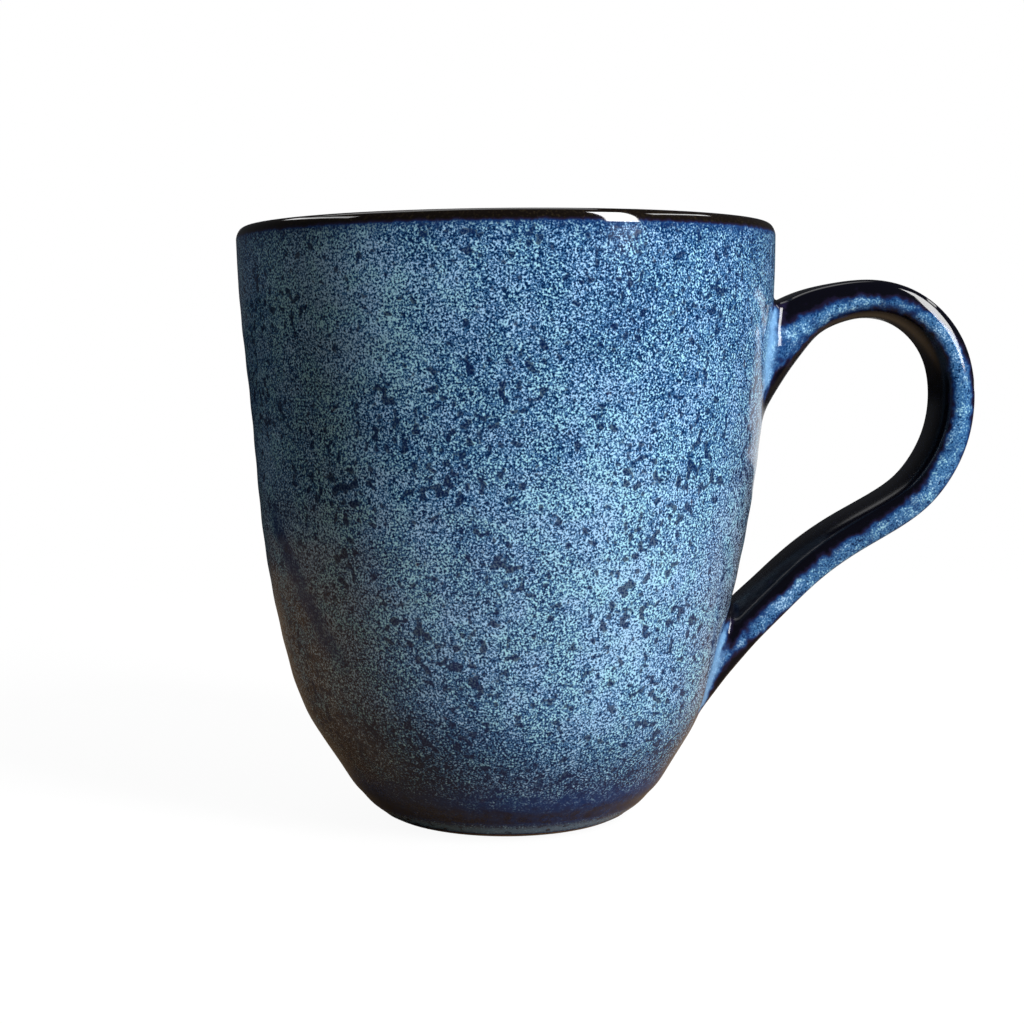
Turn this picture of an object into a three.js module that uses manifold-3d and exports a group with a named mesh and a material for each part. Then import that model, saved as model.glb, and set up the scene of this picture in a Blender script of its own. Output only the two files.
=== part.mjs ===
// A stoneware mug: a thrown cup and a pulled strap handle, joined with slip and coated in glaze.
// Millimetres, +Z up. It stands on z = 0 with the handle along +X, and the origin is on the floor
// below the middle of its box.

import * as THREE from 'three';
import { mergeVertices } from 'three/addons/utils/BufferGeometryUtils.js';
import Module from 'manifold-3d';

// Driving dimensions. All radii are from the cup's axis.
const HEIGHT = 100;
const RIM_RADIUS = 45;
const HANDLE_REACH = 79.1;
const WALL = 4;
const GLAZE = 0.5;
const LIP_RADIUS = WALL / 2;
const LIP_HEIGHT = HEIGHT - LIP_RADIUS;

// The foot: a flat bare ring that carries the mug, round a shallow glazed recess.
const FOOT_INSIDE = 13.4;
const FOOT_OUTSIDE = 16.8;
const RECESS_RADIUS = 12;
const RECESS_HEIGHT = 2;
const BASE_GLAZE_RADIUS = 11.5;

// The handle: half sizes of its glazed strap, and how much more it has at each end of its line.
const HANDLE_HALF_THICKNESS = 3.5;
const HANDLE_HALF_WIDTH = 7.8;
const UPPER_ROOT = { length: 31, thickness: 7, width: 6 };
const LOWER_ROOT = { length: 44, thickness: 0.6, width: 4 };
const SECTION_SQUARENESS = 2.7;

// A slip joint is a thin pad between the clay wall and the clay end of the handle.
const SLIP_THICKNESS = 0.8;
const GAP = 0.3;
const JOINTS_PART_HEIGHT = 60;

// Fineness of the facets.
const ROUND_SEGMENTS = 40;
const LIP_STEPS = 6;
const FOOT_STEPS = 3;
const OUTER_STEPS = 15;
const INNER_STEPS = 13;
const SECTION_SIDES = 18;
const HANDLE_STEPS = 30;

// The glazed outside of the cup, [radius, height], from the foot to the start of the lip.
const OUTER_FACE = [
  [21.4, 1],
  [24.6, 4],
  [30.6, 13],
  [35.7, 24],
  [38.7, 36],
  [40.9, 48],
  [42.3, 60],
  [43.3, 74],
  [44.5, 88],
  [RIM_RADIUS, LIP_HEIGHT],
];

// The glazed inside, [radius, height], from the middle of the floor to the start of the lip.
const INNER_FACE = [
  [0, 7.5],
  [10, 7.6],
  [18, 8.9],
  [24.4, 12.4],
  [28.6, 17.4],
  [31.7, 24.4],
  [34.7, 36],
  [36.9, 48],
  [38.3, 60],
  [39.3, 74],
  [40.5, 88],
  [RIM_RADIUS - WALL, LIP_HEIGHT],
];

// The middle line of the handle, [distance from the axis, height], from the upper root to the lower.
// Both ends lie inside the wall.
const HANDLE_LINE = [
  [34, 71.6],
  [40, 77],
  [45, 81.2],
  [50, 85],
  [55.2, 87],
  [60.5, 87.8],
  [65.8, 86.9],
  [70.6, 83.8],
  [74, 79.4],
  [HANDLE_REACH - HANDLE_HALF_THICKNESS, 72],
  [74.4, 64],
  [72.2, 59.2],
  [68.9, 55.1],
  [64.6, 51.9],
  [57.7, 47.9],
  [51.2, 43.2],
  [45.5, 37.6],
  [40, 31.5],
  [32, 22.7],
  [24, 13.9],
];

const wasm = await Module();
wasm.setup();

function toVectors(pairs) {
  return pairs.map(([radius, height]) => new THREE.Vector2(radius, height));
}

// A solid of revolution about +Z. The profile runs anticlockwise, with the radius to the right.
function revolve(profile) {
  const geometry = new THREE.LatheGeometry(profile, ROUND_SEGMENTS);
  geometry.rotateX(Math.PI / 2);
  return geometry;
}

function arc(centerX, centerY, radiusX, radiusY, fromAngle, toAngle, steps) {
  const curve = new THREE.EllipseCurve(centerX, centerY, radiusX, radiusY, fromAngle, toAngle);
  return curve.getPoints(steps);
}

function toSolid(geometry) {
  const bare = geometry.clone();
  bare.deleteAttribute('normal');
  bare.deleteAttribute('uv');
  const merged = mergeVertices(bare);
  return new wasm.Manifold(new wasm.Mesh({
    numProp: 3,
    vertProperties: merged.attributes.position.array,
    triVerts: merged.index.array,
  }));
}

function toGeometry(solid) {
  const mesh = solid.getMesh();
  const geometry = new THREE.BufferGeometry();
  geometry.setAttribute('position', new THREE.BufferAttribute(mesh.vertProperties, 3));
  geometry.setIndex(new THREE.BufferAttribute(mesh.triVerts, 1));
  geometry.computeVertexNormals();
  return geometry;
}

function addPiece(group, name, geometry, color, roughness) {
  const material = new THREE.MeshStandardMaterial({ color, roughness, metalness: 0 });
  const mesh = new THREE.Mesh(geometry, material);
  mesh.name = name;
  group.add(mesh);
}

// The four faces that the clay and the glaze coats share.
const outerFace = new THREE.SplineCurve(toVectors(OUTER_FACE)).getSpacedPoints(OUTER_STEPS);
const innerFace = new THREE.SplineCurve(toVectors(INNER_FACE)).getSpacedPoints(INNER_STEPS);
const clayOutside = outerFace.map((point) => new THREE.Vector2(point.x - GLAZE, point.y));

// The inner coat is measured straight down in the middle of the floor and straight out at the lip.
const clayInside = innerFace.map((point) => {
  const outward = point.x / (RIM_RADIUS - WALL);
  return new THREE.Vector2(point.x + GLAZE * outward, point.y - GLAZE * (1 - outward));
});

function lipArc(radius) {
  return arc(RIM_RADIUS - LIP_RADIUS, LIP_HEIGHT, radius, radius, 0, Math.PI, LIP_STEPS);
}

function cupBody() {
  const clay = clayOutside[0];
  const footEdge = arc(FOOT_OUTSIDE, clay.y, clay.x - FOOT_OUTSIDE, clay.y, -Math.PI / 2, 0, FOOT_STEPS);
  return revolve([
    new THREE.Vector2(0, RECESS_HEIGHT),
    new THREE.Vector2(RECESS_RADIUS, RECESS_HEIGHT),
    new THREE.Vector2(FOOT_INSIDE, 0),
    ...footEdge,
    ...clayOutside.slice(1, -1),
    ...lipArc(LIP_RADIUS - GLAZE),
    ...clayInside.slice(0, -1).reverse(),
  ]);
}

function outerGlaze() {
  return revolve([clayOutside[0], ...outerFace, ...clayOutside.slice().reverse()]);
}

function linerGlaze() {
  return revolve([...clayInside, ...innerFace.slice().reverse()]);
}

function rimGlaze() {
  const outside = lipArc(LIP_RADIUS);
  const clay = lipArc(LIP_RADIUS - GLAZE);
  return revolve([...outside, ...clay.reverse(), outside[0]]);
}

function baseGlaze() {
  return revolve([
    new THREE.Vector2(0, RECESS_HEIGHT - GLAZE),
    new THREE.Vector2(BASE_GLAZE_RADIUS - GLAZE, RECESS_HEIGHT - GLAZE),
    new THREE.Vector2(BASE_GLAZE_RADIUS, RECESS_HEIGHT),
    new THREE.Vector2(0, RECESS_HEIGHT),
  ]);
}

// The whole cup without its hollow, up to the lip, with the clay's outer face grown by a distance.
function filledCup(grow) {
  const side = clayOutside.map((point) => new THREE.Vector2(point.x + grow, point.y));
  const top = new THREE.Vector2(0, LIP_HEIGHT);
  const bottom = new THREE.Vector2(0, side[0].y);
  return toSolid(revolve([bottom, ...side, top]));
}

// How much of a root's flare is there at a distance from its end.
function flare(distance, root) {
  const rest = Math.max(0, 1 - distance / root.length);
  return rest * rest;
}

// A rounded strap of unit half sizes, drawn out by a unit length.
function strap() {
  const points = [];
  for (let side = 0; side < SECTION_SIDES; side += 1) {
    const angle = (2 * Math.PI * (side + 0.5)) / SECTION_SIDES;
    const cos = Math.cos(angle);
    const sin = Math.sin(angle);
    const power = 2 / SECTION_SQUARENESS;
    const x = Math.sign(cos) * Math.abs(cos) ** power;
    const y = Math.sign(sin) * Math.abs(sin) ** power;
    points.push(new THREE.Vector2(x, y));
  }
  const options = { depth: 1, steps: HANDLE_STEPS, bevelEnabled: false };
  return new THREE.ExtrudeGeometry(new THREE.Shape(points), options);
}

// The strap bent along the handle's middle line, with its glazed faces grown outward by a distance.
function handleSolid(grow) {
  const line = new THREE.CatmullRomCurve3(HANDLE_LINE.map(([x, z]) => new THREE.Vector3(x, 0, z)));
  const length = line.getLength();
  const geometry = strap();
  const position = geometry.attributes.position;
  for (let i = 0; i < position.count; i += 1) {
    const along = position.getZ(i);
    const upper = flare(along * length, UPPER_ROOT);
    const lower = flare((1 - along) * length, LOWER_ROOT);
    const thickness = HANDLE_HALF_THICKNESS + upper * UPPER_ROOT.thickness + lower * LOWER_ROOT.thickness;
    const width = HANDLE_HALF_WIDTH + upper * UPPER_ROOT.width + lower * LOWER_ROOT.width;
    const across = position.getX(i) * (thickness + grow);
    const sideways = position.getY(i) * (width + grow);
    const middle = line.getPointAt(along);
    const tangent = line.getTangentAt(along);
    position.setXYZ(i, middle.x - tangent.z * across, -sideways, middle.z + tangent.x * across);
  }
  return toSolid(geometry);
}

// The part of a solid above or below the height that parts the two joints.
function jointPart(solid, isUpper) {
  const size = 2 * HEIGHT;
  const box = new THREE.BoxGeometry(size, size, size);
  box.translate(0, 0, JOINTS_PART_HEIGHT + (isUpper ? size / 2 : -size / 2));
  return solid.intersect(toSolid(box));
}

const clayHandle = handleSolid(-GLAZE);
const slipTop = GAP + SLIP_THICKNESS;
const slip = clayHandle.intersect(filledCup(slipTop).subtract(filledCup(GAP)));
const handleCore = clayHandle.subtract(filledCup(slipTop + GAP));
const handleCoat = handleSolid(0).subtract(clayHandle).subtract(filledCup(GLAZE + GAP));
const outerCoat = toSolid(outerGlaze()).subtract(handleSolid(GAP - GLAZE));

const mug = new THREE.Group();
mug.position.x = (RIM_RADIUS - HANDLE_REACH) / 2;
addPiece(mug, 'cup_body', cupBody(), 0x8a6f57, 0.85);
addPiece(mug, 'handle_core', toGeometry(handleCore), 0x94785f, 0.85);
addPiece(mug, 'upper_slip_joint', toGeometry(jointPart(slip, true)), 0xa89078, 0.9);
addPiece(mug, 'lower_slip_joint', toGeometry(jointPart(slip, false)), 0xa89078, 0.9);
addPiece(mug, 'outer_glaze', toGeometry(outerCoat), 0x5f84ab, 0.16);
addPiece(mug, 'rim_glaze', rimGlaze(), 0x1d1614, 0.1);
addPiece(mug, 'liner_glaze', linerGlaze(), 0x4a6f99, 0.16);
addPiece(mug, 'base_glaze', baseGlaze(), 0x3c5c85, 0.16);
addPiece(mug, 'handle_glaze', toGeometry(handleCoat), 0x2f4a73, 0.14);

export default mug;
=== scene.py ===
import bisect
import math

import bpy
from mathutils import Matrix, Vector

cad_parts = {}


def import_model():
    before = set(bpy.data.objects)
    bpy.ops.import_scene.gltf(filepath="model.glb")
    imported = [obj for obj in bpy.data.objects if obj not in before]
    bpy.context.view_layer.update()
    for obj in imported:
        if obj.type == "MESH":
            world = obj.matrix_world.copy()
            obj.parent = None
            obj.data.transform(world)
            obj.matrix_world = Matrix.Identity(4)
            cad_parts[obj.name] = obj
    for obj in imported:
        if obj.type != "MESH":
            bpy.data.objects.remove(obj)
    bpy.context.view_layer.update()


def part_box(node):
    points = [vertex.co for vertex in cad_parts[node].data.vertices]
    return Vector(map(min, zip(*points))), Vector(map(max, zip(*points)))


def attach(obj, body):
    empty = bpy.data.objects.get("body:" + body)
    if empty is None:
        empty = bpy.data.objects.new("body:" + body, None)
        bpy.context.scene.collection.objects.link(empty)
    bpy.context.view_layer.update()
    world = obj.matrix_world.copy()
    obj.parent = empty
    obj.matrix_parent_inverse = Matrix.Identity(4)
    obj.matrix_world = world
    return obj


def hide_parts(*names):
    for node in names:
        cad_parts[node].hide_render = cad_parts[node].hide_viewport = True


# A stoneware mug in a speckled blue glaze, which breaks to brown-black on the lip, on the handle's
# inner and outer faces and above the foot. Lengths are in millimetres, measured from the cup's own
# axis, and ideal_to_frame() turns them into metres in the frame. A turn round the cup is in
# degrees: 0 is the camera's side, 90 is the handle's side and -90 is the left.

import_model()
cup_low, cup_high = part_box("cup_body")
CUP_X = (cup_low.x + cup_high.x) / 2
CUP_Y = (cup_low.y + cup_high.y) / 2
MM = 0.001
ROUND = 2 * math.pi

# ---------------------------------------------------------------- the cup in numbers
HEIGHT = 100
RIM_RADIUS = 45
LIP_HEIGHT = 98
LIP_MIDDLE = 43
LIP_RADIUS = 2
GLAZE = 0.5

# The glazed outside: its radius at each height, without the bead and the groove above the foot.
WALL_HEIGHTS = [1, 4, 9, 17, 29, 48, 70, 88, 95, LIP_HEIGHT]
WALL_RADII = [21.1, 24.7, 28.3, 33.1, 37.05, 40.8, 43.15, 44.7, 44.95, RIM_RADIUS]
BEAD = {"height": 2.6, "spread": 1.0, "size": 0.14}
GROOVE = {"height": 4.6, "spread": 0.9, "size": -0.14}

# The lip, [radius, height]: a slight taper outside, a tight round on top, and a slacker one inside.
LIP = [
    [RIM_RADIUS, LIP_HEIGHT], [44.91, 98.6], [44.77, 99.2], [44.58, 99.6], [44.2, 99.88],
    [43.7, 99.99], [43.1, HEIGHT], [42.5, 99.9], [41.8, 99.45], [41.25, 98.8], [41, LIP_HEIGHT],
]

# The glazed inside, [radius, height], from the middle of the floor to the lip.
INSIDE = [
    [0, 7.5], [10, 7.6], [18, 8.9], [24.4, 12.4], [28.6, 17.4], [31.7, 24.4],
    [34.7, 36], [36.9, 48], [38.3, 60], [39.3, 74], [40.5, 88], [41, LIP_HEIGHT],
]

# The foot: the height where the glaze starts, the bare clay ring and the glazed recess inside it.
FOOT_EDGE = 1.2
FOOT_INSIDE = 13.4
FOOT_OUTSIDE = 16.8
FOOT_ROUNDING = 0.35
RECESS_RADIUS = 12
RECESS_HEIGHT = 2
RECESS_ROUNDING = 0.4
BASE_GLAZE_RADIUS = 11.5

# What the hand left. The axis wanders by a lean at each height, the rim dips away from the handle,
# the cup is a little oval, the lip is worn in at the handle's side and opposite it, and throwing
# left faint ripples.
LEAN_HEIGHTS = [0, 7, 13, 20, 42, 62, 98]
LEANS = [0.1, 0.2, 0.05, -0.2, -0.2, 0.35, 0.2]
RIM_DIP = 0.8
RIM_DIP_START = 60
OVAL = 0.2
OVAL_ANGLE = math.radians(90)
LIP_WEAR = 0.5
RIPPLE = 0.035
RIPPLE_PITCH = 6.5
WARP_REACH = 6

# How fine the cup's meshes are. The rows of the outside crowd towards the foot.
CUP_SIDES = 288
CLAY_SIDES = 192
WALL_ROWS = 150
WALL_CROWDING = 1.35
INSIDE_STEP = 0.9
LIP_STEP = 0.12
LIP_ROWS = 16
FOOT_ROWS = 12

# The glaze: the turn where its dark band above the foot is lowest and weakest, and the dark scar
# low on the left, which starts at a turn and a height and runs so many degrees for each millimetre.
FRONT_TURN = 20
SCAR_TURN = -63
SCAR_TOP = 52
SCAR_SLOPE = 0.9
SCAR_SPREAD = 5

# ---------------------------------------------------------------- the handle in numbers
# Its middle line, [distance from the cup's axis, height], from the upper root to the lower.
HANDLE_LINE = [
    [34, 71.6], [40, 77], [45, 81.2], [50, 85], [55.2, 87], [60.5, 87.8], [65.8, 86.9],
    [70.6, 83.8], [73.8, 79.3], [75.4, 72], [74.3, 64], [72.1, 59.2], [68.9, 55.1], [64.6, 51.9],
    [57.8, 47.9], [51.3, 43.2], [45.5, 37.7], [39.6, 31.8], [31.8, 22.9], [24, 13.9],
]

# Half the strap's width and thickness. The thickness outward changes along the line.
STRAP_HALF_WIDTH = 7.8
STRAP_INWARD = 3.35
STRAP_PLACES = [0, 20, 33, 45, 62, 85, 110, 140]
STRAP_OUTWARD = [3.4, 3.3, 3.0, 2.6, 2.7, 3.3, 3.5, 3.5]
LEAST_OUTWARD = 2.5

# How far from each end the strap widens, and by how much there.
UPPER_ROOT = {"length": 31, "thickness": 7.2, "width": 6}
LOWER_ROOT = {"length": 44, "thickness": 0.6, "width": 4}

# The outer half of the strap's section, from its middle line to its side: shares of the half sizes
# at each turn in degrees. A soft facet runs along the shoulder. The inner half is a squarish round.
SECTION_TURNS = [-25, 0, 25, 50, 65, 72.5, 80, 90, 100]
SECTION_ACROSS = [0.985, 1, 0.985, 0.92, 0.75, 0.5, 0.25, 0, -0.25]
SECTION_SIDEWAYS = [-0.45, 0, 0.45, 0.76, 0.911, 0.954, 0.985, 1, 0.985]
INNER_SQUARENESS = 2.75

# Each end's fillet: a place on the line that is outside the wall, the step from there towards the
# wall, and how far the fillet reaches along the strap and along the wall at the strap's sides. It
# is smaller above and below the strap. Its edge is tucked into the cup's glaze.
END_FILLETS = {
    "upper": {"start": 35, "step": -1, "along": 3.4, "wall": 2.5},
    "lower": {"start": 80, "step": 1, "along": 4.4, "wall": 4.0},
}
LEAST_FILLET = 0.4
TUCK_RUN = 0.5
TUCK_DEPTH = 0.3

# Under the glaze, the clay strap stops CLAY_CLEAR from the wall, and a slip pad lies between
# SLIP_NEAR and SLIP_FAR from it. The pad's section is the strap's, shrunk all round by SLIP_INSET.
CLAY_CLEAR = 0.9
SLIP_NEAR = 0.05
SLIP_FAR = 0.6
SLIP_INSET = 0.6

# How fine the handle's meshes are. The ends of clay and slip are closed in rings of these shares.
STRAP_SIDES = 120
STRAP_ROWS = 210
FILLET_ROWS = 14
CAP_SHARES = [0.3, 0.6, 0.85]

# Where the blue on the strap's sides ends, as a share of its half thickness, at places along it,
# and how dark its sides are beside the joints.
STRIPE_PLACES = [12, 22, 32, 43, 56, 69, 80, 96, 112]
STRIPE_OUTWARD = [0.25, 0.15, 0.1, 0.35, 0.75, 0.95, 1.1, 1.1, 0.65]
STRIPE_INWARD = [0.75, 0.85, 0.75, 0.65, 0.65, 0.52, 0.25, 0.15, 0.1]
NEAR_JOINT_DARK = 0.25


# ---------------------------------------------------------------- curves
def spline(knots, values):
    """A natural cubic spline: the smooth function that has these values at these knots."""
    count = len(knots)
    gaps = [knots[i + 1] - knots[i] for i in range(count - 1)]
    sweep = [0.0] * count
    load = [0.0] * count
    bend = [0.0] * count
    for i in range(1, count - 1):
        jump = (values[i + 1] - values[i]) / gaps[i] - (values[i] - values[i - 1]) / gaps[i - 1]
        pivot = 2 * (gaps[i - 1] + gaps[i]) - gaps[i - 1] * sweep[i - 1]
        sweep[i] = gaps[i] / pivot
        load[i] = (6 * jump - gaps[i - 1] * load[i - 1]) / pivot
    for i in range(count - 2, 0, -1):
        bend[i] = load[i] - sweep[i] * bend[i + 1]

    def at(x):
        i = min(max(bisect.bisect(knots, x) - 1, 0), count - 2)
        right = (x - knots[i]) / gaps[i]
        left = 1 - right
        curve = (left**3 - left) * bend[i] + (right**3 - right) * bend[i + 1]
        return left * values[i] + right * values[i + 1] + curve * gaps[i] ** 2 / 6

    return at


def line_through(points):
    """The length of a smooth line through points, and the function from a distance to its point."""
    knots = [0.0]
    for a, b in zip(points, points[1:]):
        knots.append(knots[-1] + math.dist(a, b))
    axes = [spline(knots, [p[axis] for p in points]) for axis in range(2)]
    return knots[-1], lambda distance: [axis(distance) for axis in axes]


def smoothstep(low, high, x):
    t = min(max((x - low) / (high - low), 0), 1)
    return t * t * (3 - 2 * t)


def bump(x, middle, spread):
    return math.exp(-(((x - middle) / spread) ** 2))


def arc(middle_r, middle_z, radius, start, end, steps):
    """Points on a round arc, [radius, height], with the angles in degrees from straight out."""
    points = []
    for i in range(steps + 1):
        angle = math.radians(start + (end - start) * i / steps)
        points.append([middle_r + radius * math.cos(angle), middle_z + radius * math.sin(angle)])
    return points


def resample(points, step):
    """Points about a step apart along a smooth line through the given points."""
    length, at = line_through(points)
    count = round(length / step)
    return [at(length * i / count) for i in range(count + 1)]


plain_wall = spline(WALL_HEIGHTS, WALL_RADII)
lean = spline(LEAN_HEIGHTS, LEANS)
strap_length, strap_line = line_through(HANDLE_LINE)
strap_outward = spline(STRAP_PLACES, STRAP_OUTWARD)
section_across = spline(SECTION_TURNS, SECTION_ACROSS)
section_sideways = spline(SECTION_TURNS, SECTION_SIDEWAYS)
stripe_outward = spline(STRIPE_PLACES, STRIPE_OUTWARD)
stripe_inward = spline(STRIPE_PLACES, STRIPE_INWARD)


def wall_radius(height):
    """The radius of the glazed outside at a height, up to the lip."""
    radius = plain_wall(height)
    for ring in (BEAD, GROOVE):
        radius += ring["size"] * bump(height, ring["height"], ring["spread"])
    return radius


def ideal_to_frame(point):
    """Moves a point of the ideal mug to where the hand-made one has it, in metres in the frame."""
    x, y, z = point
    radius = math.hypot(x, y)
    angle = math.atan2(y, x)
    height = min(max(z, 0), HEIGHT)
    wall = wall_radius(min(max(height, 1), LIP_HEIGHT))
    near = radius / wall if radius < wall else bump(radius, wall, WARP_REACH)
    oval = OVAL * (height / HEIGHT) * (1 + math.cos(2 * (angle - OVAL_ANGLE))) / 2
    rippled = smoothstep(8, 20, height) * (1 - smoothstep(84, 94, height))
    ripple = RIPPLE * rippled * math.sin(ROUND * height / RIPPLE_PITCH + angle)
    up_the_lip = max(z - LIP_HEIGHT, 0) / LIP_RADIUS
    wear = LIP_WEAR * up_the_lip**2 * (x / RIM_RADIUS) ** 2
    push = 1 + near * (ripple - oval - wear) / max(radius, 1)
    away = (1 - min(x, RIM_RADIUS) / RIM_RADIUS) / 2
    dip = RIM_DIP * smoothstep(RIM_DIP_START, HEIGHT, height) * away
    return Vector((
        CUP_X + (x * push + lean(height)) * MM,
        CUP_Y + y * push * MM,
        (z - dip) * MM,
    ))


# ---------------------------------------------------------------- meshes
def finish_piece(name, verts, faces, material, marks, node):
    """Makes a piece for a CAD node. Its marks are values at its points, which its glaze reads."""
    mesh = bpy.data.meshes.new(name)
    mesh.from_pydata([ideal_to_frame(v) for v in verts], [], faces)
    mesh.validate()
    mesh.shade_smooth()
    mesh.set_sharp_from_angle(angle=math.radians(50))
    for mark, values in marks.items():
        layer = mesh.attributes.new(mark, "FLOAT", "POINT")
        layer.data.foreach_set("value", values)
    mesh.materials.append(material)
    piece = bpy.data.objects.new(name, mesh)
    bpy.context.scene.collection.objects.link(piece)
    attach(piece, "root")
    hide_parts(node)


def lathe(profile, sides):
    """Turns a profile round the axis. It closes on itself, or starts and ends on the axis."""
    on_axis = profile[0][0] == 0
    rows = profile[1:-1] if on_axis else profile
    verts = []
    for radius, height in rows:
        for i in range(sides):
            angle = ROUND * i / sides
            verts.append((radius * math.cos(angle), radius * math.sin(angle), height))
    faces = []
    count = len(rows)
    for row in range(count - 1 if on_axis else count):
        low, high = row * sides, (row + 1) % count * sides
        for i in range(sides):
            j = (i + 1) % sides
            faces.append((low + i, low + j, high + j, high + i))
    if on_axis:
        first, last = len(verts), len(verts) + 1
        verts.append((0, 0, profile[0][1]))
        verts.append((0, 0, profile[-1][1]))
        top = (count - 1) * sides
        for i in range(sides):
            j = (i + 1) % sides
            faces.append((first, j, i))
            faces.append((last, top + i, top + j))
    return verts, faces


# ---------------------------------------------------------------- the cup
wall_shares = [(i / WALL_ROWS) ** WALL_CROWDING for i in range(WALL_ROWS + 1)]
wall_heights = [FOOT_EDGE + (LIP_HEIGHT - FOOT_EDGE) * share for share in wall_shares]
outside = [[wall_radius(h), h] for h in wall_heights]
clay_outside = [[r - GLAZE, h] for r, h in outside]
inside = resample(INSIDE, INSIDE_STEP)
inside[0][0] = 0

# The inner coat is measured straight down in the middle of the floor and straight out at the lip.
clay_inside = []
for r, h in inside:
    outward = r / (LIP_MIDDLE - LIP_RADIUS)
    clay_inside.append([r + GLAZE * outward, h - GLAZE * (1 - outward)])


def darkness_of_wall(height, turn=0.0):
    """How far the glaze breaks to brown outside: at the rim, above the foot and in the scar."""
    rim = smoothstep(97.3, 99.2, height)
    deep = 0.13 * smoothstep(93, 97, height)
    front = (1 + math.cos(math.radians(turn - FRONT_TURN))) / 2
    fade = 1 - smoothstep(3.5, 13 + 4 * (1 - front), height)
    band = (0.58 - 0.08 * front) * smoothstep(2.4, 3.8, height) * fade
    edge = 0.9 * (1 - smoothstep(0.9, 1.4, height))
    scar_middle = SCAR_TURN + SCAR_SLOPE * (SCAR_TOP - height)
    scar = 0.36 * bump(turn, scar_middle, SCAR_SPREAD)
    scar *= smoothstep(26, 34, height) * (1 - smoothstep(50, 58, height))
    return max(rim, deep, band, edge, scar)


def bead_sheen_on_wall(height):
    """A painted reflection of the floor: the bead of the foot is painted pale blue."""
    return 0.9 * bump(height, 1.9, 0.75)


def tone_sheen_and_shade_on_wall(height, turn):
    """How much paler (above 0) or darker and bluer (below 0) than usual the glaze is painted: a
    painted reflection of the window in a band at a turn of 27, painted shade low on the front-left,
    and paler or darker elsewhere by turn and height.
    """
    # The band at a turn of 27 is a painted reflection of the window.
    window_sheen = bump(turn, 27, 11) * smoothstep(10, 28, height) * (1 - smoothstep(66, 82, height))
    lower = bump(turn, 35, 45) * smoothstep(10, 26, height) * (1 - smoothstep(45, 66, height))
    upper = bump(turn, 45, 45) * smoothstep(70, 84, height)
    left = bump(turn, -40, 20) * smoothstep(25, 45, height)
    high_left = bump(turn, -30, 22) * smoothstep(72, 88, height)
    # Painted shade, low on the front-left.
    shade = bump(turn, -22, 32) * (1 - smoothstep(14, 36, height))
    foot = 1 - smoothstep(5, 28, height)
    rim = smoothstep(88, 97, height)
    paleness_and_sheen = 0.6 * window_sheen + 0.65 * lower + 0.5 * left + 0.6 * high_left
    return paleness_and_sheen - 0.3 * upper - 1.2 * foot - 0.7 * shade - 0.3 * rim


def wash_and_reflection_on_wall(height, turn):
    """Where the glaze is painted browner and paler: painted reflections low down at both sides, and
    clay that shows brown through the thin glaze above the foot.
    """
    # Turns go on from 180 at the back to 270 at the left, where they start again from -90.
    leftward = 360 - turn if turn > 180 else -turn
    # Painted reflection, low down on the left.
    left = smoothstep(20, 60, leftward) * (1 - smoothstep(120, 160, leftward))
    left *= 1 - smoothstep(35, 62, height)
    # Painted reflection, low down on the right and at the back.
    right = smoothstep(45, 80, turn) * (1 - smoothstep(180, 225, turn))
    right *= 1 - smoothstep(45, 88, height)
    # Clay showing through the thin glaze above the foot.
    foot = 1 - smoothstep(6, 16, height)
    return max(left, 0.8 * right, 0.35 * foot)


def outer_glaze(material):
    # The coat's lower edge is rounded.
    end_r = (outside[0][0] + clay_outside[0][0]) / 2
    end = [
        [end_r - 0.15, FOOT_EDGE - 0.15],
        [end_r, FOOT_EDGE - 0.2],
        [end_r + 0.15, FOOT_EDGE - 0.12],
    ]
    verts, faces = lathe([*end, *outside, *reversed(clay_outside)], CUP_SIDES)
    marks = {"dark": [], "pool_and_sheen": [], "paleness_and_sheen": [], "wash_and_reflection": []}
    for x, y, height in verts:
        turn = math.degrees(math.atan2(y, x)) + 90
        marks["dark"].append(darkness_of_wall(height, turn))
        marks["pool_and_sheen"].append(bead_sheen_on_wall(height))
        marks["paleness_and_sheen"].append(tone_sheen_and_shade_on_wall(height, turn))
        marks["wash_and_reflection"].append(wash_and_reflection_on_wall(height, turn))
    finish_piece("Outer_Glaze", verts, faces, material, marks, "outer_glaze")


def rim_glaze(material):
    top = resample(LIP, LIP_STEP)
    under = arc(LIP_MIDDLE, LIP_HEIGHT, LIP_RADIUS - GLAZE, 180, 0, LIP_ROWS)
    verts, faces = lathe([*top, *under], CUP_SIDES)
    marks = {"dark": [darkness_of_wall(v[2]) for v in verts]}
    finish_piece("Rim_Glaze", verts, faces, material, marks, "rim_glaze")


def liner_glaze(material):
    verts, faces = lathe([*clay_inside, *reversed(inside)], CUP_SIDES)
    marks = {"dark": [smoothstep(94.5, 98.3, v[2]) for v in verts]}
    finish_piece("Liner_Glaze", verts, faces, material, marks, "liner_glaze")


def base_glaze(material):
    face = RECESS_HEIGHT - GLAZE
    rounding = GLAZE / 2
    floor = [[r, face] for r in (0, 2, 4, 6, 8, 9.5, 10.5)]
    edge = arc(BASE_GLAZE_RADIUS - rounding, RECESS_HEIGHT - rounding, rounding, -90, 0, 6)
    back = [[r, RECESS_HEIGHT] for r in (BASE_GLAZE_RADIUS, 8, 4, 0)]
    verts, faces = lathe([*floor, *edge, *back], CLAY_SIDES)
    radii = [math.hypot(v[0], v[1]) for v in verts]
    marks = {"dark": [smoothstep(8.5, BASE_GLAZE_RADIUS, radius) for radius in radii]}
    finish_piece("Base_Glaze", verts, faces, material, marks, "base_glaze")


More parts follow.
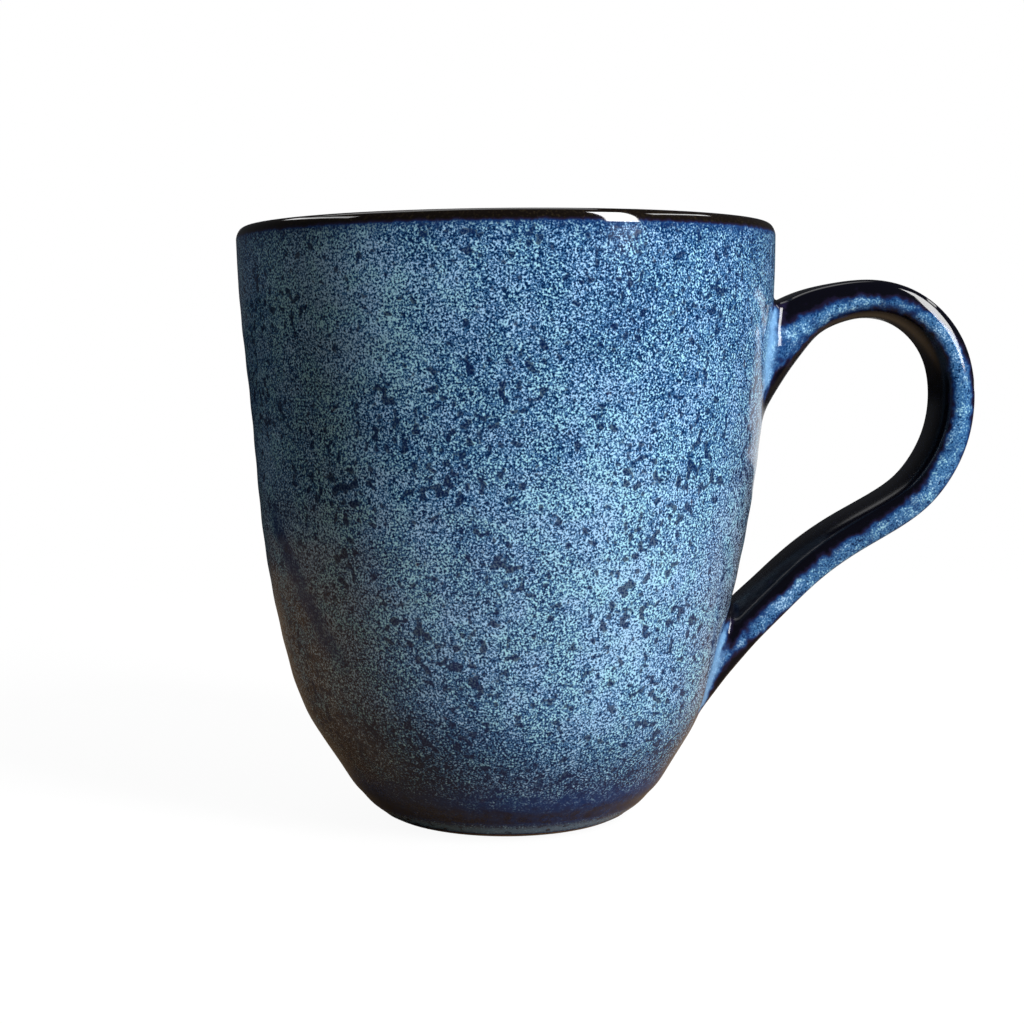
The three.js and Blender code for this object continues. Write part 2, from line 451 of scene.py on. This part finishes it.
def cup_clay(material):
    recess = [[r, RECESS_HEIGHT] for r in (0, 4, 8)]
    edge_r, edge_z = RECESS_RADIUS - RECESS_ROUNDING, RECESS_HEIGHT - RECESS_ROUNDING
    recess += arc(edge_r, edge_z, RECESS_ROUNDING, 90, 35, 4)
    ring = arc(FOOT_INSIDE + FOOT_ROUNDING, FOOT_ROUNDING, FOOT_ROUNDING, 215, 270, 5)
    ring += [[r, 0] for r in (14.6, 15.6, FOOT_OUTSIDE)]
    wide = clay_outside[0][0] - FOOT_OUTSIDE
    rounding = []
    for i in range(1, FOOT_ROWS + 1):
        angle = math.pi / 2 * i / FOOT_ROWS
        out, up = wide * math.sin(angle), FOOT_EDGE * (1 - math.cos(angle))
        rounding.append([FOOT_OUTSIDE + out, up])
    lip = arc(LIP_MIDDLE, LIP_HEIGHT, LIP_RADIUS - GLAZE, 0, 180, LIP_ROWS)
    profile = [*recess, *ring, *rounding, *clay_outside[1:-1], *lip, *reversed(clay_inside[:-1])]
    verts, faces = lathe(profile, CLAY_SIDES)
    finish_piece("Cup_Clay", verts, faces, material, {}, "cup_body")


# ---------------------------------------------------------------- the handle
# Places along its line are distances from its upper end, and a turn round its section is in
# radians from the middle of its outer face.
STRAP_TURNS = [ROUND * i / STRAP_SIDES for i in range(STRAP_SIDES)]


def flare(distance, root):
    """How much of a root's widening there is at a distance from its end."""
    return max(0, 1 - distance / root["length"]) ** 2


def section(turn):
    """The strap's section at a turn: shares of its half thickness and half width."""
    cos, sin = math.cos(turn), math.sin(turn)
    if cos > 0:
        degrees = abs(math.degrees(math.atan2(sin, cos)))
        return section_across(degrees), math.copysign(section_sideways(degrees), sin)
    power = 2 / INNER_SQUARENESS
    return -(abs(cos) ** power), math.copysign(abs(sin) ** power, sin)


def strap_point(distance, turn, grow=0.0, share=1.0):
    """A point on the strap's face. The section is grown by a length, then shrunk to a share."""
    x, z = strap_line(distance)
    x1, z1 = strap_line(distance - 0.1)
    x2, z2 = strap_line(distance + 0.1)
    run = math.hypot(x2 - x1, z2 - z1)
    along_x, along_z = (x2 - x1) / run, (z2 - z1) / run
    upper = flare(distance, UPPER_ROOT)
    lower = flare(strap_length - distance, LOWER_ROOT)
    is_outer = math.cos(turn) > 0
    thickness = max(strap_outward(distance), LEAST_OUTWARD) if is_outer else STRAP_INWARD
    thickness += upper * UPPER_ROOT["thickness"] + lower * LOWER_ROOT["thickness"]
    width = STRAP_HALF_WIDTH + upper * UPPER_ROOT["width"] + lower * LOWER_ROOT["width"]
    across, sideways = section(turn)
    across *= (thickness + grow) * share
    sideways *= (width + grow) * share
    return Vector((x - along_z * across, -sideways, z + along_x * across))


def depth_outside(point):
    """How far a point is outside the cup's wall. Negative is inside."""
    height = min(max(point.z, 1), LIP_HEIGHT)
    return math.hypot(point.x, point.y) - wall_radius(height)


def distance_to_wall(turn, end, grow=0.0, share=1.0, clear=0.0):
    """Where a line along the strap comes this near the wall at one of its ends."""
    step = END_FILLETS[end]["step"]
    low = END_FILLETS[end]["start"]
    while depth_outside(strap_point(low, turn, grow, share)) > clear:
        low += step
    high = low - step
    for _ in range(24):
        middle = (low + high) / 2
        if depth_outside(strap_point(middle, turn, grow, share)) > clear:
            high = middle
        else:
            low = middle
    return (low + high) / 2


def on_wall(point, sunk=0.0):
    """The point of the cup's wall nearest to a point, or one sunk into the wall there."""
    height = min(max(point.z, 2), LIP_HEIGHT)
    angle = math.atan2(point.y, point.x)
    radius = wall_radius(height) - sunk
    return Vector((radius * math.cos(angle), radius * math.sin(angle), height))


def middle_at_wall(end, clear=0.0):
    """The point of the strap's middle line that is this near the wall."""
    return strap_point(distance_to_wall(0, end, share=0, clear=clear), 0, share=0)


def root_lines(end):
    """For each turn: where the strap's face leaves the fillet, where it would meet the wall, and
    the fillet's points down to the wall."""
    fillet = END_FILLETS[end]
    heart = middle_at_wall(end)
    lines = []
    for turn in STRAP_TURNS:
        crossing = distance_to_wall(turn, end)
        size = LEAST_FILLET + (1 - LEAST_FILLET) * abs(math.sin(turn))
        leave = crossing - fillet["step"] * fillet["along"] * size
        corner = strap_point(crossing, turn)
        normal = Vector((corner.x, corner.y, 0)).normalized()
        away = corner - heart
        away = (away - normal * away.dot(normal)).normalized()
        reach = fillet["wall"] * size
        first = strap_point(leave, turn)
        last = on_wall(corner + away * reach)
        points = []
        for k in range(1, FILLET_ROWS + 1):
            t = k / FILLET_ROWS
            points.append(first * (1 - t) ** 2 + corner * (2 * t * (1 - t)) + last * t * t)
        points.append(on_wall(corner + away * (reach + TUCK_RUN), TUCK_DEPTH))
        lines.append((leave, crossing, points))
    return lines


def stripe_darkness(distance, turn):
    """How dark the strap is: its sides stay blue, and its inner and outer faces break to black."""
    across = section(turn)[0]
    outer_limit = stripe_outward(distance)
    inner_limit = stripe_inward(distance)
    outer = smoothstep(outer_limit - 0.45, outer_limit + 0.35, across)
    inner = smoothstep(inner_limit - 0.55, inner_limit + 0.25, -across)
    return max(outer, inner)


def fillet_marks(share, strap_dark, turn):
    """Darkness, pooling and calm on a fillet, from the cup's wall (share 0) to the strap (1)."""
    pool_and_sheen = bump(share, 0.42, 0.4) * smoothstep(0.75, 0.97, abs(section(turn)[1]))
    dark = smoothstep(0, 0.3, share) * strap_dark * (1 - pool_and_sheen)
    side = smoothstep(0.5, 1, share) * NEAR_JOINT_DARK
    return max(dark, side), pool_and_sheen, smoothstep(0, 0.3, share)


def glaze_column(turn, upper_root, lower_root):
    """The points round the glaze's sleeve at one turn, each with its darkness, pooling and calm:
    out along its face from the upper root to the lower, and back along the clay."""
    first, upper_crossing, upper_points = upper_root
    last, lower_crossing, lower_points = lower_root
    column = []
    for k, point in enumerate(reversed(upper_points)):
        share = k / (FILLET_ROWS + 1)
        column.append((point, *fillet_marks(share, stripe_darkness(first, turn), turn)))
    for k in range(STRAP_ROWS + 1):
        distance = first + (last - first) * k / STRAP_ROWS
        near = max(bump(distance, first, 4), bump(distance, last, 4))
        dark = max(stripe_darkness(distance, turn), NEAR_JOINT_DARK * near)
        column.append((strap_point(distance, turn), dark, 0.0, 1.0))
    for k, point in enumerate(lower_points):
        share = 1 - (k + 1) / (FILLET_ROWS + 1)
        column.append((point, *fillet_marks(share, stripe_darkness(last, turn), turn)))
    for k in range(STRAP_ROWS, -1, -2):
        distance = upper_crossing + (lower_crossing - upper_crossing) * k / STRAP_ROWS
        column.append((strap_point(distance, turn, -GLAZE), 0.0, 0.0, 1.0))
    return column


def handle_glaze(material):
    roots = zip(STRAP_TURNS, root_lines("upper"), root_lines("lower"))
    columns = [glaze_column(*root) for root in roots]
    dullness = [smoothstep(0.3, 0.9, -section(turn)[0]) for turn in STRAP_TURNS]
    marks = {"dark": [], "pool_and_sheen": [], "calm": [], "dull": []}
    verts, faces = [], []
    rows = len(columns[0])
    for row in range(rows):
        low, high = row * STRAP_SIDES, (row + 1) % rows * STRAP_SIDES
        for i, column in enumerate(columns):
            point, *values = column[row]
            verts.append(point)
            for mark, value in zip(marks, (*values, dullness[i])):
                marks[mark].append(value)
            j = (i + 1) % STRAP_SIDES
            faces.append((low + i, low + j, high + j, high + i))
    finish_piece("Handle_Glaze", verts, faces, material, marks, "handle_glaze")


def joint_ring(end, grow, share, clear):
    """The points where the strap's section, shrunk to a share, comes this near the wall."""
    points = []
    for turn in STRAP_TURNS:
        distance = distance_to_wall(turn, end, grow, share, clear)
        points.append(strap_point(distance, turn, grow, share))
    return points


def solid_of_rings(rings, first_tip, last_tip):
    """A closed solid through rings of points, with a tip at each end."""
    verts = [point for ring in rings for point in ring]
    top, bottom = len(verts), len(verts) + 1
    verts += [first_tip, last_tip]
    last = (len(rings) - 1) * STRAP_SIDES
    faces = []
    for i in range(STRAP_SIDES):
        j = (i + 1) % STRAP_SIDES
        for near in range(0, last, STRAP_SIDES):
            far = near + STRAP_SIDES
            faces.append((near + i, near + j, far + j, far + i))
        faces.append((top, j, i))
        faces.append((bottom, last + i, last + j))
    return verts, faces


def handle_clay(material):
    """The clay strap under the glaze. It stops short of the wall, where the slip pads are."""
    ends = []
    for turn in STRAP_TURNS:
        first = distance_to_wall(turn, "upper", -GLAZE, clear=CLAY_CLEAR)
        last = distance_to_wall(turn, "lower", -GLAZE, clear=CLAY_CLEAR)
        ends.append((turn, first, last))
    rings = [joint_ring("upper", -GLAZE, share, CLAY_CLEAR) for share in CAP_SHARES]
    rows = STRAP_ROWS // 2
    for row in range(rows + 1):
        ring = []
        for turn, first, last in ends:
            distance = first + (last - first) * row / rows
            ring.append(strap_point(distance, turn, -GLAZE))
        rings.append(ring)
    rings += [joint_ring("lower", -GLAZE, share, CLAY_CLEAR) for share in reversed(CAP_SHARES)]
    tips = [middle_at_wall(end, CLAY_CLEAR) for end in ("upper", "lower")]
    verts, faces = solid_of_rings(rings, *tips)
    finish_piece("Handle_Clay", verts, faces, material, {}, "handle_core")


def slip_pad(end, name, node, material):
    """The thin pad of slip between the cup's wall and the end of the clay strap."""
    shares = [*CAP_SHARES, 1.0]
    rings = [joint_ring(end, -SLIP_INSET, share, SLIP_FAR) for share in shares]
    rings += [joint_ring(end, -SLIP_INSET, share, SLIP_NEAR) for share in reversed(shares)]
    tips = [middle_at_wall(end, SLIP_FAR), middle_at_wall(end, SLIP_NEAR)]
    if end == "upper":
        rings.reverse()
        tips.reverse()
    verts, faces = solid_of_rings(rings, *tips)
    finish_piece(name, verts, faces, material, {}, node)


# ---------------------------------------------------------------- materials
NAVY = (0.001, 0.016, 0.075)
MID_BLUE = (0.05, 0.17, 0.385)
PALE_GREEN = (0.43, 0.79, 0.93)
PALE_VIOLET = (0.44, 0.72, 1.0)
# Colours of thin glaze and of the painted reflections at the sides.
WASH_AND_REFLECTION_DARK = (0.040, 0.022, 0.020)
WASH_AND_REFLECTION_MIDDLE = (0.115, 0.10, 0.12)
WASH_AND_REFLECTION_PALE = (0.42, 0.48, 0.54)
# Pale blue of pooled glaze, also used for the painted floor reflection on the foot's bead.
POOLED_AND_SHEEN = (0.22, 0.45, 0.76)
DEEP_BLUE = (0.006, 0.035, 0.15)
DEEP_SPOT = (0.003, 0.012, 0.065)
RUST = (0.035, 0.015, 0.04)
PURPLE_BLACK = (0.012, 0.009, 0.028)
BROWN_BLACK = (0.006, 0.004, 0.003)
BLUE_BLACK = (0.003, 0.003, 0.006)
OLIVE_BROWN = (0.022, 0.016, 0.008)
CLAY = (0.30, 0.20, 0.13)
CLAY_DARK = (0.22, 0.14, 0.09)
SLIP = (0.38, 0.28, 0.20)
SLIP_DARK = (0.30, 0.21, 0.14)
GRIT = (0.05, 0.03, 0.02)


class Tree:
    """A short way to write a material's nodes."""

    def __init__(self, name):
        self.material = bpy.data.materials.new(name)
        self.material.use_nodes = True
        self.nodes = self.material.node_tree.nodes
        self.links = self.material.node_tree.links
        self.shader = self.nodes["Principled BSDF"]
        self.place = self.nodes.new("ShaderNodeTexCoord").outputs["Object"]

    def connect(self, socket, value):
        if isinstance(value, bpy.types.NodeSocket):
            self.links.new(value, socket)
        elif isinstance(value, tuple):
            socket.default_value = (*value, 1)
        else:
            socket.default_value = value

    def noise(self, size_mm, detail, roughness, shift=0):
        """Noise from 0 to 1 whose lumps are about this size. A shift gives another pattern."""
        node = self.nodes.new("ShaderNodeTexNoise")
        place = self.nodes.new("ShaderNodeVectorMath")
        place.operation = "MULTIPLY_ADD"
        scale = 1 / (size_mm * MM)
        self.connect(place.inputs[0], self.place)
        place.inputs[1].default_value = (scale, scale, scale)
        place.inputs[2].default_value = (shift, shift * 0.7, shift * 1.3)
        self.connect(node.inputs["Vector"], place.outputs[0])
        node.inputs["Scale"].default_value = 1
        node.inputs["Detail"].default_value = detail
        node.inputs["Roughness"].default_value = roughness
        return node.outputs["Fac"]

    def step(self, value, low, high, to_low=0.0, to_high=1.0):
        node = self.nodes.new("ShaderNodeMapRange")
        node.interpolation_type = "SMOOTHSTEP"
        self.connect(node.inputs["Value"], value)
        self.connect(node.inputs["From Min"], low)
        self.connect(node.inputs["From Max"], high)
        node.inputs["To Min"].default_value = to_low
        node.inputs["To Max"].default_value = to_high
        return node.outputs["Result"]

    def math(self, operation, *values):
        node = self.nodes.new("ShaderNodeMath")
        node.operation = operation
        for socket, value in zip(node.inputs, values):
            self.connect(socket, value)
        return node.outputs[0]

    def add(self, a, b):
        return self.math("ADD", a, b)

    def subtract(self, a, b):
        return self.math("SUBTRACT", a, b)

    def multiply(self, a, b, plus=0.0):
        return self.math("MULTIPLY_ADD", a, b, plus)

    def mix(self, share, a, b):
        node = self.nodes.new("ShaderNodeMix")
        node.data_type = "RGBA"
        self.connect(node.inputs["Factor"], share)
        self.connect(node.inputs["A"], a)
        self.connect(node.inputs["B"], b)
        return node.outputs["Result"]

    def mark(self, name):
        """A mark of the piece. It is 0 on a piece without it."""
        node = self.nodes.new("ShaderNodeAttribute")
        node.attribute_name = name
        return node.outputs["Fac"]

    def color(self, value):
        self.connect(self.shader.inputs["Base Color"], value)

    def roughness(self, value):
        self.connect(self.shader.inputs["Roughness"], value)

    def bump(self, height, depth_mm, strength):
        node = self.nodes.new("ShaderNodeBump")
        node.inputs["Strength"].default_value = strength
        node.inputs["Distance"].default_value = depth_mm * MM
        self.connect(node.inputs["Height"], height)
        self.connect(self.shader.inputs["Normal"], node.outputs["Normal"])


def speckled_glaze(name, specular):
    """Pale curds on navy, in drifts of green and violet, with dark spots, and broken where the
    mark "dark" says. The mark "calm" is the handle's softer mottle."""
    tree = Tree(name)
    dark = tree.mark("dark")
    calm = tree.mark("calm")
    grain = tree.noise(0.31, 1.5, 0.55)
    patch = tree.noise(5, 1.5, 0.6, shift=23)

    # How pale the grain is at a point: it drifts in clouds and with the mark of paleness, which
    # holds a painted reflection of the window on the right and painted shade low on the front-left.
    cloud = tree.noise(9, 2.0, 0.6, shift=11)
    drift = tree.multiply(cloud, 0.12, plus=-0.06)
    drift = tree.multiply(tree.mark("paleness_and_sheen"), 0.05, plus=drift)
    mottle = tree.multiply(tree.noise(1.6, 2.0, 0.6, shift=19), 0.3, plus=-0.145)
    drift = tree.multiply(calm, mottle, plus=drift)
    contrast = tree.multiply(calm, -0.55, plus=1.0)
    level = tree.multiply(tree.subtract(grain, 0.5), contrast, plus=drift)

    # The colours from deep to pale, browner and paler in the wash and in the painted reflections at
    # the sides, and the pale blue of pooled glaze and of the painted floor reflection on the foot's
    # bead.
    washed_and_reflected = tree.multiply(tree.mark("wash_and_reflection"), tree.step(patch, 0.35, 0.55, 0.5, 1.0))
    deep = tree.mix(washed_and_reflected, NAVY, WASH_AND_REFLECTION_DARK)
    middle = tree.mix(washed_and_reflected, MID_BLUE, WASH_AND_REFLECTION_MIDDLE)
    pale = tree.mix(tree.step(patch, 0.38, 0.62), PALE_GREEN, PALE_VIOLET)
    pale = tree.mix(tree.multiply(washed_and_reflected, 0.55), pale, WASH_AND_REFLECTION_PALE)
    body = tree.mix(tree.step(level, -0.11, 0.0), deep, middle)
    body = tree.mix(tree.step(level, 0.01, 0.14), body, pale)
    # Pale blue where glaze pooled in the handle's fillets, and a painted reflection of the floor on
    # the foot's bead.
    body = tree.mix(tree.multiply(tree.mark("pool_and_sheen"), 0.7), body, POOLED_AND_SHEEN)

    # Dark spots, which crowd together in places, and rusty flecks.
    crowd = tree.noise(14, 1.0, 0.5, shift=37)
    limit = tree.multiply(crowd, -0.36, plus=0.91)
    spots = tree.multiply(grain, 0.2, plus=tree.noise(1.35, 0.8, 0.5, shift=41))
    spot = tree.step(spots, limit, tree.add(limit, 0.06))
    spot = tree.multiply(spot, tree.multiply(calm, -0.8, plus=0.85))
    body = tree.mix(spot, body, DEEP_SPOT)
    rust = tree.step(tree.noise(2.2, 1.5, 0.6, shift=53), 0.72, 0.80)
    body = tree.mix(tree.multiply(rust, 0.7), body, RUST)

    # The break, with a torn edge: through deep blue and purple to black, flecked with brown.
    ragged = tree.multiply(tree.noise(1.3, 2.0, 0.6, shift=61), 0.5, plus=-0.25)
    broad = tree.subtract(tree.noise(2.2, 1.5, 0.6, shift=83), 0.5)
    torn = tree.multiply(calm, broad, plus=tree.add(dark, ragged))
    blue = tree.multiply(tree.step(torn, 0.02, 0.45), 0.92)
    body = tree.mix(blue, body, DEEP_BLUE)
    body = tree.mix(tree.step(torn, 0.3, 0.62), body, PURPLE_BLACK)
    fleck = tree.noise(0.4, 2.0, 0.6, shift=71)
    black = tree.mix(tree.step(fleck, 0.52, 0.72), BROWN_BLACK, OLIVE_BROWN)
    black = tree.mix(calm, black, BLUE_BLACK)
    body = tree.mix(tree.step(torn, 0.55, 0.85), body, black)
    tree.color(body)

    # Broken glaze is glossier and smoother than the curds, but duller inside the handle.
    shiny = tree.step(torn, 0.0, 0.3)
    gloss = tree.multiply(shiny, -0.07, plus=0.12)
    tree.roughness(tree.multiply(tree.mark("dull"), 0.2, plus=gloss))
    tree.shader.inputs["IOR"].default_value = 1.5
    tree.shader.inputs["Specular IOR Level"].default_value = specular
    tree.bump(tree.multiply(grain, tree.subtract(1.0, shiny)), 0.012, 0.3)
    return tree.material


def clay(name, light, dark):
    """Bare matt clay, clouded from light to dark, with darker grit."""
    tree = Tree(name)
    grit = tree.noise(0.35, 3.0, 0.7)
    cloud = tree.noise(5, 2.0, 0.6, shift=9)
    body = tree.mix(tree.step(cloud, 0.3, 0.7), light, dark)
    tree.color(tree.mix(tree.multiply(tree.step(grit, 0.58, 0.66), 0.6), body, GRIT))
    tree.roughness(tree.multiply(grit, 0.2, plus=0.68))
    tree.bump(grit, 0.06, 0.6)
    return tree.material


# ---------------------------------------------------------------- the pieces
cup_coat = speckled_glaze("Speckled_Blue_Glaze", 0.5)
handle_coat = speckled_glaze("Speckled_Handle_Glaze", 0.3)
bare_clay = clay("Stoneware_Clay", CLAY, CLAY_DARK)
slip = clay("Joining_Slip", SLIP, SLIP_DARK)

outer_glaze(cup_coat)
rim_glaze(cup_coat)
liner_glaze(cup_coat)
base_glaze(cup_coat)
handle_glaze(handle_coat)
cup_clay(bare_clay)
handle_clay(bare_clay)
slip_pad("upper", "Upper_Slip_Joint", "upper_slip_joint", slip)
slip_pad("lower", "Lower_Slip_Joint", "lower_slip_joint", slip)

# ---------------------------------------------------------------- stage, lights and camera
FLOOR_RADIUS = 6.0
FLOOR_RINGS = 24
FLOOR_SIDES = 96

# Colours that only the mug sees: the brown floor round it, the dark floor farther off, and the
# dim room. The camera sees a floor and a room that are white.
NEAR_FLOOR = (0.26, 0.18, 0.11)
FAR_FLOOR = (0.02, 0.02, 0.02)
DIM_ROOM = (0.95, 1.0, 1.1)

# Soft boxes that look at the mug: turn, rise in degrees, distance, width and height in metres, and
# radiance. The window makes the highlights on the right. The strips are the glints on the edges.
LIGHTS = {
    "Window": (48.5, 27, 1.0, 0.24, 0.74, 26),
    "Right_Strip": (92, 42, 1.0, 0.6, 0.09, 10),
    "Left_Strip": (-106, 42, 1.0, 0.95, 0.11, 6),
    "Back_Card": (148, -1.9, 0.6, 0.36, 0.07, 0.75),
    "Back_Glint": (135, 1.9, 0.8, 0.10, 0.02, 12),
    "Back_Fill": (-160, 64, 1.2, 0.9, 0.7, 1.7),
}
LIGHT_AIM_HEIGHT = 55

# The camera's place from the cup's axis in millimetres, how far it looks down, and its lens.
CAMERA_PLACE = (1.24, -313.4, 78.9)
CAMERA_TILT = 4.99
CAMERA_LENS = 64.8


def floor_material():
    """White to the camera, with a faint shadow near the mug, and dim to everything else."""
    tree = Tree("Pale_Floor")
    nodes, links = tree.nodes, tree.links

    def mixed(share, a, b):
        node = nodes.new("ShaderNodeMixShader")
        links.new(share, node.inputs["Fac"])
        links.new(a.outputs[0], node.inputs[1])
        links.new(b.outputs[0], node.inputs[2])
        return node

    distance = nodes.new("ShaderNodeVectorMath")
    distance.operation = "LENGTH"
    links.new(tree.place, distance.inputs[0])
    away = distance.outputs["Value"]

    shadowed = nodes.new("ShaderNodeBsdfDiffuse")
    tree.connect(shadowed.inputs["Color"], (0.08, 0.08, 0.08))
    glow = nodes.new("ShaderNodeEmission")
    glow.inputs["Strength"].default_value = 0.94
    near = nodes.new("ShaderNodeAddShader")
    links.new(shadowed.outputs[0], near.inputs[0])
    links.new(glow.outputs[0], near.inputs[1])
    white = nodes.new("ShaderNodeEmission")
    seen = mixed(tree.step(away, 0.08, 0.45), near, white)

    dim = nodes.new("ShaderNodeBsdfDiffuse")
    dim_color = tree.mix(tree.step(away, 0.1, 0.35), NEAR_FLOOR, FAR_FLOOR)
    tree.connect(dim.inputs["Color"], dim_color)
    rays = nodes.new("ShaderNodeLightPath")
    surface = mixed(rays.outputs["Is Camera Ray"], dim, seen)
    links.new(surface.outputs[0], nodes["Material Output"].inputs["Surface"])
    return tree.material


def stage():
    """A round pale floor that fades into the white behind it."""
    verts = [(0, 0, 0)]
    for ring in range(1, FLOOR_RINGS + 1):
        radius = FLOOR_RADIUS * (ring / FLOOR_RINGS) ** 2
        for i in range(FLOOR_SIDES):
            angle = ROUND * i / FLOOR_SIDES
            verts.append((radius * math.cos(angle), radius * math.sin(angle), 0))
    faces = []
    for i in range(FLOOR_SIDES):
        j = (i + 1) % FLOOR_SIDES
        faces.append((0, 1 + i, 1 + j))
        for ring in range(FLOOR_RINGS - 1):
            low, high = 1 + ring * FLOOR_SIDES, 1 + (ring + 1) * FLOOR_SIDES
            faces.append((low + i, high + i, high + j, low + j))
    mesh = bpy.data.meshes.new("Floor")
    mesh.from_pydata(verts, [], faces)
    mesh.materials.append(floor_material())
    floor = bpy.data.objects.new("Floor", mesh)
    bpy.context.scene.collection.objects.link(floor)


def world():
    """White to the camera and dim to everything else."""
    made = bpy.data.worlds.new("Studio")
    bpy.context.scene.world = made
    made.use_nodes = True
    nodes, links = made.node_tree.nodes, made.node_tree.links
    nodes.clear()
    seen = nodes.new("ShaderNodeBackground")
    seen.inputs["Color"].default_value = (1, 1, 1, 1)
    dim = nodes.new("ShaderNodeBackground")
    dim.inputs["Color"].default_value = (*DIM_ROOM, 1)
    dim.inputs["Strength"].default_value = 0.035
    rays = nodes.new("ShaderNodeLightPath")
    both = nodes.new("ShaderNodeMixShader")
    out = nodes.new("ShaderNodeOutputWorld")
    links.new(rays.outputs["Is Camera Ray"], both.inputs["Fac"])
    links.new(dim.outputs[0], both.inputs[1])
    links.new(seen.outputs[0], both.inputs[2])
    links.new(both.outputs[0], out.inputs["Surface"])


def area_light(name, turn, rise, distance, width, height, radiance):
    """A soft box that looks at the mug from a turn and a rise above level."""
    data = bpy.data.lights.new(name, "AREA")
    data.shape = "RECTANGLE"
    data.size = width
    data.size_y = height
    data.energy = radiance * math.pi * width * height
    light = bpy.data.objects.new(name, data)
    a, e = math.radians(turn), math.radians(rise)
    back = Vector((math.sin(a) * math.cos(e), -math.cos(a) * math.cos(e), math.sin(e)))
    aim = Vector((CUP_X, CUP_Y, LIGHT_AIM_HEIGHT * MM))
    light.location = aim + back * distance
    light.rotation_euler = back.to_track_quat("Z", "Y").to_euler()
    bpy.context.scene.collection.objects.link(light)


def camera():
    data = bpy.data.cameras.new("Camera")
    data.sensor_width = 36
    data.lens = CAMERA_LENS
    data.clip_start = 0.01
    made = bpy.data.objects.new("Camera", data)
    x, y, z = CAMERA_PLACE
    made.location = (CUP_X + x * MM, CUP_Y + y * MM, z * MM)
    made.rotation_euler = (math.radians(90 - CAMERA_TILT), 0, 0)
    bpy.context.scene.collection.objects.link(made)
    bpy.context.scene.camera = made


stage()
world()
for name, numbers in LIGHTS.items():
    area_light(name, *numbers)
camera()
bpy.context.scene.view_settings.view_transform = "Standard"

bpy.context.view_layer.update()
